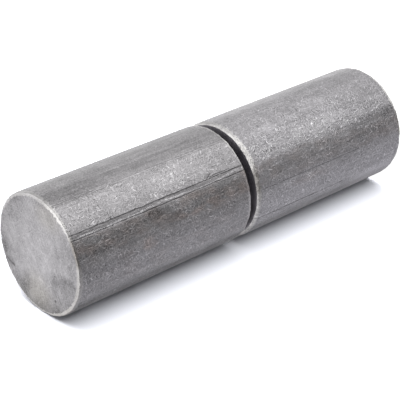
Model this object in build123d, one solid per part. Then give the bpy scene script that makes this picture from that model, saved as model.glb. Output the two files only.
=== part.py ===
from build123d import *
import os
from math import radians, sin, tan

# Weld-on barrel hinge, lift-off pattern, turned from 40 mm round steel bar.
#
# Two halves of plain bar stand end to end on one axis. The lower half holds a pressed-in pin, the upper
# half has a blind bore that drops over the pin, and a loose ball at the bottom of that bore rides on the
# pin's end. The ball carries the weight of the gate, so a narrow gap stays open between the two halves.
# Each half is welded along its side, the lower one to the post and the upper one to the gate.
#
# Frame: +Z up along the hinge pin, origin at the centre of the lower half's free end. Millimetres.

# ---------------------------------------------------------------------------
# Driving dimensions: millimetres and degrees
# ---------------------------------------------------------------------------

# Bar stock and the two sawn lengths
bar_d = 40.0
lower_length = 70.0
upper_length = 70.0

# Daylight between the two halves, set by how deep the upper half is bored
face_gap = 3.2

# Edge breaks on the sawn ends
lower_free_break = 0.6
lower_gap_break = 0.9
upper_gap_break = 0.3
upper_free_break = 0.6

# Pivot pin, pressed into the lower half as far as the shoulder of its bore
pin_d = 20.0
pin_seat_depth = 32.0
pin_reach = 34.0
pin_foot_chamfer = 1.0
pin_tip_chamfer = 1.5

# Bores: a drilled hole opened out to size, so that a flat shoulder is left round the drill's own cone
shoulder_width = 1.0
drill_point_angle = 118.0
lower_mouth_chamfer = 0.5
upper_mouth_chamfer = 1.0
pin_clearance = 0.08

# Thrust ball, smaller than the pin by its side room all round, with a film of grease above and below it
ball_side_room = 2.0
grease_film = 0.05

# Seams that the rolling mill left along the bar. Each is a V, placed by its bearing about the pin
seam_width = 0.5
seam_depth = 0.22
seam_bearings = (-140.0, -145.0)
hairline_width = 0.28
hairline_depth = 0.09
upper_hairline_bearing = -108.0
lower_hairline_bearing = -170.5

# ---------------------------------------------------------------------------
# Worked out from the above
# ---------------------------------------------------------------------------

bar_r = bar_d / 2
pin_r = pin_d / 2
drill_r = pin_r - shoulder_width
ball_r = pin_r - ball_side_room
running_r = pin_r + pin_clearance

half_point = radians(drill_point_angle / 2)
cone_height = drill_r / tan(half_point)

upper_start = lower_length + face_gap
pin_foot = lower_length - pin_seat_depth
pin_tip = lower_length + pin_reach
ball_centre = pin_tip + grease_film + ball_r

# The drill's cone sits on the ball with the film between them, and that fixes the bore's depth
cone_apex = ball_centre + (ball_r + grease_film) / sin(half_point)
upper_bore_depth = cone_apex - cone_height - upper_start


def turned(points):
    """A solid of revolution about Z from (radius, height) points."""
    return revolve(Plane.XZ * make_face(Polyline(*points, close=True)), Axis.Z)


def sawn_bar(length, foot_break, top_break):
    """A length of bar standing on z = 0, with both end edges broken."""
    return turned(
        [
            (0, 0),
            (bar_r - foot_break, 0),
            (bar_r, foot_break),
            (bar_r, length - top_break),
            (bar_r - top_break, length),
            (0, length),
        ]
    )


def blind_bore(radius, depth, mouth_chamfer):
    """The metal that boring takes away: mouth on z = 0, shoulder at depth, drill point above it."""
    return turned(
        [
            (0, 0),
            (radius + mouth_chamfer, 0),
            (radius, mouth_chamfer),
            (radius, depth),
            (drill_r, depth),
            (0, depth + cone_height),
        ]
    )


def seam(bearing, length, width, depth):
    """The metal missing from a V seam that runs the whole length of a half, from z = 0 upward."""
    proud = depth
    half_mouth = width / 2 * (depth + proud) / depth
    section = make_face(
        Polyline(
            (bar_r - depth, 0),
            (bar_r + proud, half_mouth),
            (bar_r + proud, -half_mouth),
            close=True,
        )
    )
    return Rot(0, 0, bearing) * extrude(section, length)


def make_lower_barrel():
    """The post half: bored from its top face to take the pin with no clearance."""
    barrel = sawn_bar(lower_length, lower_free_break, lower_gap_break)
    bore = blind_bore(pin_r, pin_seat_depth, lower_mouth_chamfer)
    barrel -= Pos(0, 0, lower_length) * Rot(180, 0, 0) * bore
    return barrel - seam(lower_hairline_bearing, lower_length, hairline_width, hairline_depth)


def make_upper_barrel():
    """The gate half: bored from its underside to run on the pin and cup the ball."""
    barrel = sawn_bar(upper_length, upper_gap_break, upper_free_break)
    barrel -= blind_bore(running_r, upper_bore_depth, upper_mouth_chamfer)
    for bearing in seam_bearings:
        barrel -= seam(bearing, upper_length, seam_width, seam_depth)
    barrel -= seam(upper_hairline_bearing, upper_length, hairline_width, hairline_depth)
    return Pos(0, 0, upper_start) * barrel


def make_hinge_pin():
    """The pivot: a plain turned pin, seated on the shoulder of the lower bore."""
    return turned(
        [
            (0, pin_foot),
            (pin_r - pin_foot_chamfer, pin_foot),
            (pin_r, pin_foot + pin_foot_chamfer),
            (pin_r, pin_tip - pin_tip_chamfer),
            (pin_r - pin_tip_chamfer, pin_tip),
            (0, pin_tip),
        ]
    )


def make_thrust_ball():
    """The bearing ball between the pin's end and the cone of the upper bore."""
    return Pos(0, 0, ball_centre) * Sphere(ball_r)


pieces = {
    "lower_barrel": make_lower_barrel(),
    "hinge_pin": make_hinge_pin(),
    "thrust_ball": make_thrust_ball(),
    "upper_barrel": make_upper_barrel(),
}

os.makedirs("parts", exist_ok=True)
for node, shape in pieces.items():
    export_step(shape, f"parts/{node}.step")
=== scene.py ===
"""Finishes of the weld-on barrel hinge, and the studio it stands in.

Two halves of tumbled round bar, a ground pin and a polished ball. Each is a turned piece, so one Geometry
Nodes tree spins a profile about the pin's axis and cuts the seams, pits and worn rims into it.
"""
import logging
from dataclasses import dataclass, field, replace
from enum import Enum
from math import cos, pi, radians, sin, tan
from typing import NamedTuple

import bpy
from mathutils import Matrix, Vector


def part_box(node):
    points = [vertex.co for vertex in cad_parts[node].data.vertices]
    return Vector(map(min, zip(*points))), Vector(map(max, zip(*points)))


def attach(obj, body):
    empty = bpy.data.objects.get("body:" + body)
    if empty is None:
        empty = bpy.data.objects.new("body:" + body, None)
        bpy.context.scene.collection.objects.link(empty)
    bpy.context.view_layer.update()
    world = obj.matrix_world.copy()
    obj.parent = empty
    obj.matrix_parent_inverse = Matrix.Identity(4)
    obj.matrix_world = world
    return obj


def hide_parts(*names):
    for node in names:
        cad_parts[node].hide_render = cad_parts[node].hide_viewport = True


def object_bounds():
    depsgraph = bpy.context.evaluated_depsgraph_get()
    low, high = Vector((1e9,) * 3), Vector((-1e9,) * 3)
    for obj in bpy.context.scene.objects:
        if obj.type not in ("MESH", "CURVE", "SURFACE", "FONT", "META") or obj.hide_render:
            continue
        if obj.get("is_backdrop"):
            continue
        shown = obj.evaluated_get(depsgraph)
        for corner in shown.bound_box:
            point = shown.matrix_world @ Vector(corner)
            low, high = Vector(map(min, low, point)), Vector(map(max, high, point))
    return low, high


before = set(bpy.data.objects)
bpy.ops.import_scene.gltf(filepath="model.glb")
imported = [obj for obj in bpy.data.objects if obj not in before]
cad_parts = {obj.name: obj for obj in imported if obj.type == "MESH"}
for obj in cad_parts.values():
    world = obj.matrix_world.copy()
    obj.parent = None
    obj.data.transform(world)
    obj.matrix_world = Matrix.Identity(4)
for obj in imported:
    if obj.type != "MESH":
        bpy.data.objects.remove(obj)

logging.basicConfig(level=logging.INFO, format="%(message)s")
log = logging.getLogger("hinge")

Tree = bpy.types.NodeTree
Socket = bpy.types.NodeSocket

MM = 0.001
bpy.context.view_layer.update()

# The bearing away from the camera, where the count of bearings starts again, in degrees
HIDDEN_BACK = 35.7
# A groove's line bends this often in a metre, and strays this far
GROOVE_BENDS = 240.0
GROOVE_WANDER = 0.5 * MM
# A worn rim is chipped this often in a metre
RIM_CHIPS = 420.0
# Points this near each other are one point
WELD = 0.001 * MM
# An edge that turns farther than this stays crisp, in degrees
CRISP_TURN = 32.0
# How far the scratches curl, and how far each layer of them is moved off the last, in millimetres
CURL = 1.8
LAYER_SHIFT = Vector((37.0, 11.0, 5.0))

SEAM_DIRT = "#4c4a4b"
BARE_RIM = "#f2f0ee"
RUSTY_RIM = "#8f8983"


# ---------------------------------------------------------------------------
# Helpers
# ---------------------------------------------------------------------------


def linear(hex_colour: str) -> tuple[float, float, float, float]:
    """Turns an sRGB hex colour into linear red, green, blue and alpha.

    Args:
        hex_colour: A colour such as "#8c8b8d".

    Returns:
        Linear channels from 0 to 1, with alpha 1.
    """
    channels = [int(hex_colour[i : i + 2], 16) / 255 for i in (1, 3, 5)]
    red, green, blue = (c / 12.92 if c <= 0.04045 else ((c + 0.055) / 1.055) ** 2.4 for c in channels)
    return red, green, blue, 1.0


def add(
    tree: Tree,
    kind: str,
    *values: object,
    out: int | str = 0,
    named: dict[str, object] | None = None,
    **settings: object,
) -> Socket | None:
    """Adds one node with its settings and its inputs.

    Args:
        tree: The tree that gets the node.
        kind: The node's type.
        *values: Its inputs in order. A socket is linked, None is left alone, anything else is set.
        out: The output handed back, by place or by name.
        named: More inputs, by name.
        **settings: The node's own options, set before its inputs.

    Returns:
        The chosen output, or None from a node that has none.
    """
    node = tree.nodes.new(kind)
    for option, value in settings.items():
        setattr(node, option, value)
    sockets = [s for s in node.inputs if s.enabled]
    pairs = list(zip(sockets, values))
    pairs += [(node.inputs[name], value) for name, value in (named or {}).items()]
    for socket, value in pairs:
        if isinstance(value, Socket):
            tree.links.new(value, socket)
        elif value is not None:
            socket.default_value = value
    if not node.outputs:
        return None
    return node.outputs[out] if isinstance(out, str) else [s for s in node.outputs if s.enabled][out]


def empty_tree(owner: bpy.types.Material | bpy.types.World) -> Tree:
    """Gives a material or a world a tree with nothing in it.

    Args:
        owner: The material or world.

    Returns:
        Its tree.
    """
    owner.use_nodes = True
    owner.node_tree.nodes.clear()
    return owner.node_tree


def new_object(name: str, data: bpy.types.ID) -> bpy.types.Object:
    """Makes an object and puts it in the scene.

    Args:
        name: The object's name.
        data: Its mesh, lamp or camera.

    Returns:
        The object.
    """
    made = bpy.data.objects.new(name, data)
    bpy.context.scene.collection.objects.link(made)
    return made


def begin_group(
    name: str,
    kind: str,
    vectors: tuple[str, ...],
    numbers: tuple[str, ...],
    result: str,
) -> tuple[Tree, bpy.types.NodeOutputs]:
    """Begins a node group that works out one number.

    Args:
        name: The group's name.
        kind: The kind of tree that it is for.
        vectors: The names of its vector inputs.
        numbers: The names of its number inputs.
        result: The name of its output.

    Returns:
        The group, and its inputs for the nodes in it to read.
    """
    tree = bpy.data.node_groups.new(name, kind)
    for label in vectors + numbers:
        socket = "NodeSocketVector" if label in vectors else "NodeSocketFloat"
        tree.interface.new_socket(label, in_out="INPUT", socket_type=socket)
    tree.interface.new_socket(result, in_out="OUTPUT", socket_type="NodeSocketFloat")
    return tree, tree.nodes.new("NodeGroupInput").outputs


def on_side(radius: float, bearing: float, height: float) -> Vector:
    """Finds a point on a cylinder about the pin's axis.

    Args:
        radius: Distance from the axis, in metres.
        bearing: Direction about the axis, in degrees from +X.
        height: Height above the lower half's free end, in metres.

    Returns:
        The point, in metres.
    """
    return Vector((radius * cos(radians(bearing)), radius * sin(radians(bearing)), height))


# ---------------------------------------------------------------------------
# Grooves
# ---------------------------------------------------------------------------


@dataclass(frozen=True)
class Groove:
    """A cut along the straight line between two points, or a pit where they are one point. Metres."""

    start: Vector
    end: Vector
    width: float
    depth: float

    @classmethod
    def along(cls, radius: float, first: tuple[float, float], last: tuple[float, float], width: float,
              depth: float) -> "Groove":
        """A groove in the side of a bar.

        Args:
            radius: The bar's radius, in metres.
            first: Where it starts, as a bearing in degrees and a height in metres.
            last: Where it ends.
            width: Its width, in millimetres.
            depth: Its depth, in millimetres.

        Returns:
            The groove.
        """
        return cls(on_side(radius, *first), on_side(radius, *last), width * MM, depth * MM)

    @classmethod
    def on_end(cls, height: float, first: tuple[float, float], last: tuple[float, float], width: float,
               depth: float) -> "Groove":
        """A groove in the end of a bar.

        Args:
            height: The end's height, in metres.
            first: Where it starts, as X and Y in millimetres.
            last: Where it ends.
            width: Its width, in millimetres.
            depth: Its depth, in millimetres.

        Returns:
            The groove.
        """
        end = Vector((0, 0, height))
        return cls(Vector((*first, 0)) * MM + end, Vector((*last, 0)) * MM + end, width * MM, depth * MM)


def groove_group(kind: str) -> Tree:
    """The group that gives one groove's depth at a point. The mesh and the materials both use it.

    Args:
        kind: The kind of tree that the group is for.

    Returns:
        The group, made once for each kind.
    """
    name = f"groove_{kind}"
    made = bpy.data.node_groups.get(name)
    if made:
        return made
    tree, given = begin_group(name, kind, ("Place", "Outward", "Start", "End"), ("Width", "Depth"), "Cut")
    from_start = add(tree, "ShaderNodeVectorMath", given["Place"], given["Start"], operation="SUBTRACT")
    run = add(tree, "ShaderNodeVectorMath", given["End"], given["Start"], operation="SUBTRACT")
    along = add(tree, "ShaderNodeVectorMath", from_start, run, operation="DOT_PRODUCT", out="Value")
    whole = add(tree, "ShaderNodeVectorMath", run, run, operation="DOT_PRODUCT", out="Value")
    share = add(tree, "ShaderNodeMath", along, whole, operation="DIVIDE", use_clamp=True)
    nearest = add(tree, "ShaderNodeVectorMath", run, named={"Scale": share}, operation="SCALE")
    off = add(tree, "ShaderNodeVectorMath", from_start, nearest, operation="SUBTRACT")
    # Only how far to the side the point is counts, not how deep it already lies
    sunk = add(tree, "ShaderNodeVectorMath", off, given["Outward"], operation="PROJECT")
    off = add(tree, "ShaderNodeVectorMath", off, sunk, operation="DISTANCE", out="Value")
    reach = add(tree, "ShaderNodeMath", given["Width"], 0.5, operation="MULTIPLY")
    cut = add(tree, "ShaderNodeMapRange", off, 0.0, reach, given["Depth"], 0.0,
              interpolation_type="SMOOTHSTEP")
    tree.links.new(cut, tree.nodes.new("NodeGroupOutput").inputs["Cut"])
    return tree


def total_cut(tree: Tree, place: Socket, outward: Socket, grooves: tuple[Groove, ...]) -> Socket:
    """Adds up the depths of all the grooves at a point. Their lines wander a little, as a rolled seam does.

    Args:
        tree: A tree of nodes for a mesh or a material.
        place: The point, in metres.
        outward: The way out of the surface there.
        grooves: The grooves.

    Returns:
        The depth, in metres.
    """
    drift = add(tree, "ShaderNodeTexNoise", place, GROOVE_BENDS, 2.0, out="Color")
    drift = add(tree, "ShaderNodeVectorMath", drift, (0.5, 0.5, 0.5), operation="SUBTRACT")
    drift = add(tree, "ShaderNodeVectorMath", drift, named={"Scale": GROOVE_WANDER}, operation="SCALE")
    place = add(tree, "ShaderNodeVectorMath", place, drift, operation="ADD")
    total = add(tree, "ShaderNodeValue")
    group = groove_group(tree.bl_idname)
    kind = "GeometryNodeGroup" if tree.bl_idname == "GeometryNodeTree" else "ShaderNodeGroup"
    for groove in grooves:
        cut = add(tree, kind, place, outward, groove.start, groove.end, groove.width, groove.depth,
                  node_tree=group)
        total = add(tree, "ShaderNodeMath", total, cut, operation="ADD")
    return total


# ---------------------------------------------------------------------------
# Finishes
# ---------------------------------------------------------------------------


def uneven(
    tree: Tree,
    place: Socket,
    size: float | tuple[float, float, float],
    low: float,
    high: float,
    detail: float = 2.0,
) -> Socket:
    """A value that wanders from low to high over the surface.

    Args:
        tree: The material's tree.
        place: The point, in millimetres.
        size: How far apart its patches are, in millimetres, overall or along each axis.
        low: The lowest value.
        high: The highest value.
        detail: How much finer variation lies on top.

    Returns:
        The value.
    """
    sizes = size if isinstance(size, tuple) else (size, size, size)
    place = add(tree, "ShaderNodeVectorMath", place, tuple(1 / s for s in sizes), operation="MULTIPLY")
    noise = add(tree, "ShaderNodeTexNoise", place, 1.0, detail)
    # The noise seldom leaves 0.3 to 0.7, so that part of it is spread from low to high
    return add(tree, "ShaderNodeMapRange", noise, 0.3, 0.7, low, high)


@dataclass(frozen=True)
class Fleck:
    """Short curled scratches: each one's room, width and length in millimetres, and its strength.

    The width is the one at half strength.
    """

    room: float
    width: float
    length: float
    strength: float


def fleck_group() -> Tree:
    """The group that draws one layer of short curled scratches, each across its own cell.

    Returns:
        The group, made once.
    """
    made = bpy.data.node_groups.get("flecks")
    if made:
        return made
    numbers = ("Room", "Width", "Length")
    tree, given = begin_group("flecks", "ShaderNodeTree", ("Place", "Outward"), numbers, "Mark")
    place = given["Place"]
    rate = add(tree, "ShaderNodeMath", 1.0, given["Room"], operation="DIVIDE")
    cell = add(tree, "ShaderNodeTexVoronoi", place, rate).node.outputs
    off = add(tree, "ShaderNodeVectorMath", place, cell["Position"], operation="SUBTRACT")
    aim = add(tree, "ShaderNodeVectorMath", cell["Color"], (0.5, 0.5, 0.5), operation="SUBTRACT")
    side = add(tree, "ShaderNodeVectorMath", aim, given["Outward"], operation="CROSS_PRODUCT")
    side = add(tree, "ShaderNodeVectorMath", side, operation="NORMALIZE")
    along = add(tree, "ShaderNodeVectorMath", side, given["Outward"], operation="CROSS_PRODUCT")
    across = add(tree, "ShaderNodeVectorMath", off, side, operation="DOT_PRODUCT", out="Value")
    across = add(tree, "ShaderNodeMath", across, operation="ABSOLUTE")
    along = add(tree, "ShaderNodeVectorMath", off, along, operation="DOT_PRODUCT", out="Value")
    along = add(tree, "ShaderNodeMath", along, operation="ABSOLUTE")
    half = add(tree, "ShaderNodeMath", given["Length"], 0.5, operation="MULTIPLY")
    line = add(tree, "ShaderNodeMapRange", across, 0.0, given["Width"], 1.0, 0.0,
               interpolation_type="SMOOTHSTEP")
    tail = add(tree, "ShaderNodeMath", half, 0.4, operation="MULTIPLY")
    fade = add(tree, "ShaderNodeMapRange", along, tail, half, 1.0, 0.0, interpolation_type="SMOOTHSTEP")
    mark = add(tree, "ShaderNodeMath", line, fade, operation="MULTIPLY")
    chance = add(tree, "ShaderNodeSeparateXYZ", cell["Color"])
    chance = add(tree, "ShaderNodeMapRange", chance, 0.1, 0.9, 0.2, 1.0)
    mark = add(tree, "ShaderNodeMath", mark, chance, operation="MULTIPLY")
    tree.links.new(mark, tree.nodes.new("NodeGroupOutput").inputs["Mark"])
    return tree


def scratches(tree: Tree, place: Socket, outward: Socket, flecks: tuple[Fleck, ...]) -> Socket:
    """Lays layers of flecks over each other and curls them.

    Args:
        tree: The material's tree.
        place: The point, in millimetres.
        outward: The way out of the surface there.
        flecks: The layers.

    Returns:
        How much of a scratch there is at the point.
    """
    curl = add(tree, "ShaderNodeTexNoise", place, 0.5, 0.0, out="Color")
    curl = add(tree, "ShaderNodeVectorMath", curl, (0.5, 0.5, 0.5), operation="SUBTRACT")
    place = add(tree, "ShaderNodeVectorMath", curl, (CURL, CURL, CURL), place, operation="MULTIPLY_ADD")
    total = add(tree, "ShaderNodeValue")
    for layer, fleck in enumerate(flecks):
        moved = add(tree, "ShaderNodeVectorMath", place, LAYER_SHIFT * layer, operation="ADD")
        mark = add(tree, "ShaderNodeGroup", moved, outward, fleck.room, fleck.width, fleck.length,
                   node_tree=fleck_group())
        total = add(tree, "ShaderNodeMath", mark, fleck.strength, total, operation="MULTIPLY_ADD")
    return total


class Look(NamedTuple):
    """What a finish gives the shader: its colour, its roughness and its relief, in millimetres."""

    colour: Socket
    roughness: Socket
    relief: Socket


@dataclass(frozen=True)
class Finish:
    """A steel surface, whose pattern is drawn in millimetres on Object coordinates."""

    name: str
    grey: str

    def build(self) -> bpy.types.Material:
        """Makes the material.

        Returns:
            A metal whose colour, roughness and relief come from the finish.
        """
        material = bpy.data.materials.new(self.name)
        tree = empty_tree(material)
        place = add(tree, "ShaderNodeTexCoord", out="Object")
        place = add(tree, "ShaderNodeVectorMath", place, named={"Scale": 1 / MM}, operation="SCALE")
        look = self.look(tree, place)
        bump = add(tree, "ShaderNodeBump", named={"Strength": 1.0, "Distance": MM, "Height": look.relief})
        shader = add(tree, "ShaderNodeBsdfPrincipled", named={
            "Base Color": look.colour, "Metallic": 1.0, "Roughness": look.roughness, "Normal": bump})
        add(tree, "ShaderNodeOutputMaterial", shader)
        return material

    def look(self, tree: Tree, place: Socket) -> Look:
        """Draws the pattern of the finish.

        Args:
            tree: The material's tree.
            place: The point, in millimetres.

        Returns:
            What the shader takes from it.
        """
        raise NotImplementedError

    def shade(self, tree: Tree, base: str | Socket, tones: list[tuple[Socket, Socket | float]]) -> Socket:
        """Lightens or darkens a colour by all its tones together.

        Args:
            tree: The material's tree.
            base: The colour.
            tones: Patterns, and how much each counts: 0.1 makes it a tenth lighter where the pattern is 1.

        Returns:
            The shaded colour.
        """
        total = 1.0
        for pattern, share in tones:
            total = add(tree, "ShaderNodeMath", pattern, share, total, operation="MULTIPLY_ADD")
        colour = linear(base)[:3] if isinstance(base, str) else base
        return add(tree, "ShaderNodeVectorMath", colour, named={"Scale": total}, operation="SCALE")

    def bearing(self, tree: Tree, place: Socket) -> Socket:
        """Works out a point's bearing about the pin's axis.

        Args:
            tree: The material's tree.
            place: The point, in millimetres.

        Returns:
            The bearing in degrees, up to half a turn either way from the side towards the camera.
        """
        ahead = radians(HIDDEN_BACK - 180)
        forward = add(tree, "ShaderNodeVectorMath", place, (cos(ahead), sin(ahead), 0),
                      operation="DOT_PRODUCT", out="Value")
        across = add(tree, "ShaderNodeVectorMath", place, (-sin(ahead), cos(ahead), 0),
                     operation="DOT_PRODUCT", out="Value")
        turn = add(tree, "ShaderNodeMath", across, forward, operation="ARCTAN2")
        return add(tree, "ShaderNodeMath", turn, 180 / pi, HIDDEN_BACK - 180, operation="MULTIPLY_ADD")


@dataclass(frozen=True)
class Stretch:
    """Part of the way round a bar, from one bearing to another, that ends over `edge` degrees."""

    start: float
    end: float
    edge: float

    def within(self, tree: Tree, bearing: Socket) -> Socket:
        """How far a bearing is in the stretch.

        Args:
            tree: The material's tree.
            bearing: The bearing, in degrees.

        Returns:
            1 inside and 0 outside.
        """
        half = self.edge / 2
        rise = add(tree, "ShaderNodeMapRange", bearing, self.start - half, self.start + half, 0.0, 1.0,
                   interpolation_type="SMOOTHSTEP")
        fall = add(tree, "ShaderNodeMapRange", bearing, self.end - half, self.end + half, 1.0, 0.0,
                   interpolation_type="SMOOTHSTEP")
        return add(tree, "ShaderNodeMath", rise, fall, operation="MULTIPLY")


@dataclass(frozen=True)
class Rim(Stretch):
    """A stretch of a bar's rim: how bare it is rubbed, how much farther in, and how rusty it is."""

    bare: float
    reach: float = 0.0
    rust: float = 0.0


@dataclass(frozen=True)
class Band(Stretch):
    """A lengthwise band of a bar's side that took its tumbling differently. Some bands are painted shade
    instead.

    `tone` is how much lighter it is, as a share, `flecks` how much more scratched and `brown` how much scale
    is left on it.
    """

    tone: float
    flecks: float = 0.0
    brown: float = 0.0


@dataclass(frozen=True)
class Patch:
    """A soft-edged patch: its middle and its reach both ways, and its looks as for a band.

    On a bar's side it is placed by bearing and height, on an end by X and Y, in degrees and millimetres.
    """

    across: float
    along: float
    width: float
    length: float
    tone: float
    flecks: float = 0.0
    brown: float = 0.0

    def within(self, tree: Tree, place: Socket) -> Socket:
        """How far a point is in the patch.

        Args:
            tree: The material's tree.
            place: The point, across and along.

        Returns:
            1 in the middle and 0 outside.
        """
        off = add(tree, "ShaderNodeVectorMath", place, (self.across, self.along, 0), operation="SUBTRACT")
        rates = (1 / self.width, 1 / self.length, 0)
        off = add(tree, "ShaderNodeVectorMath", off, rates, operation="MULTIPLY")
        off = add(tree, "ShaderNodeVectorMath", off, operation="LENGTH", out="Value")
        return add(tree, "ShaderNodeMapRange", off, 0.3, 1.3, 1.0, 0.0, interpolation_type="SMOOTHSTEP")


class TreatmentAndShade(NamedTuple):
    """What tumbling left at a point, with the painted shade: how light it is, how scratched, and how much
    scale is left.
    """

    tone: Socket | float
    scratched: Socket | float
    brown: Socket | float


@dataclass(frozen=True, kw_only=True)
class BarSteel(Finish):
    """Any surface of the bar as it was supplied, with the marks of its rolling, sawing and tumbling.

    `scale` is the tint of what scale is left. `dirt` gives the depths at which a groove starts to look dirty
    and is wholly dirty, in millimetres.
    """

    patches: tuple[Patch, ...]
    grooves: tuple[Groove, ...]
    rims: tuple[Rim, ...]
    flecks: tuple[Fleck, ...]
    scale: str
    dirt: tuple[float, float]

    def weathered_and_shaded(
        self,
        tree: Tree,
        place: Socket,
        outward: Socket,
        brown: Socket | float,
        tones: list[tuple[Socket, Socket | float]],
        packed: Socket | float,
    ) -> Socket:
        """Colours the steel with its scale and tones, some of them painted shade, the dirt in its grooves and
        its bare rims.

        Args:
            tree: The material's tree.
            place: The point, in millimetres.
            outward: The way out of the surface there.
            brown: How much scale is left.
            tones: What makes it lighter or darker, as for `shade`.
            packed: How full of dirt the grooves are.

        Returns:
            The colour.
        """
        colour = add(tree, "ShaderNodeMix", brown, linear(self.grey), linear(self.scale), data_type="RGBA")
        colour = self.shade(tree, colour, tones)
        metres = add(tree, "ShaderNodeVectorMath", place, named={"Scale": MM}, operation="SCALE")
        depth = total_cut(tree, metres, outward, self.grooves)
        clean, filled = self.dirt
        dirt = add(tree, "ShaderNodeMapRange", depth, clean * MM, filled * MM, 0.0, packed,
                   interpolation_type="SMOOTHSTEP")
        colour = add(tree, "ShaderNodeMix", dirt, colour, linear(SEAM_DIRT), data_type="RGBA")
        return self.rubbed(tree, place, colour)

    def rubbed(self, tree: Tree, place: Socket, colour: Socket) -> Socket:
        """Rubs the rims bright, with a trace of rust in places.

        Args:
            tree: The material's tree.
            place: The point, in millimetres.
            colour: The colour away from the rims.

        Returns:
            The colour, bare and bright along the rims.
        """
        bearing = self.bearing(tree, place)
        wear = add(tree, "ShaderNodeAttribute", attribute_name="wear", out="Fac")
        chips = uneven(tree, place, 0.8, -0.45, 0.4, 3.0)
        exposed = add(tree, "ShaderNodeMath", wear, chips, operation="ADD")
        rust = uneven(tree, place, 3.0, -0.4, 0.2, 3.0)
        share = 0.0
        for rim in self.rims:
            within = rim.within(tree, bearing)
            share = add(tree, "ShaderNodeMath", within, rim.bare, share, operation="MULTIPLY_ADD")
            exposed = add(tree, "ShaderNodeMath", within, rim.reach, exposed, operation="MULTIPLY_ADD")
            rust = add(tree, "ShaderNodeMath", within, rim.rust, rust, operation="MULTIPLY_ADD",
                       use_clamp=True)
        # The attribute is 0 away from the rims, where chips would otherwise show
        near = add(tree, "ShaderNodeMapRange", wear, 0.05, 0.4, 0.0, 1.0)
        bare = add(tree, "ShaderNodeMapRange", exposed, 0.5, 0.75, 0.0, near, interpolation_type="SMOOTHSTEP")
        bare = add(tree, "ShaderNodeMath", bare, share, operation="MULTIPLY")
        bright = add(tree, "ShaderNodeMix", rust, linear(BARE_RIM), linear(RUSTY_RIM), data_type="RGBA")
        return add(tree, "ShaderNodeMix", bare, colour, bright, data_type="RGBA")


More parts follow.
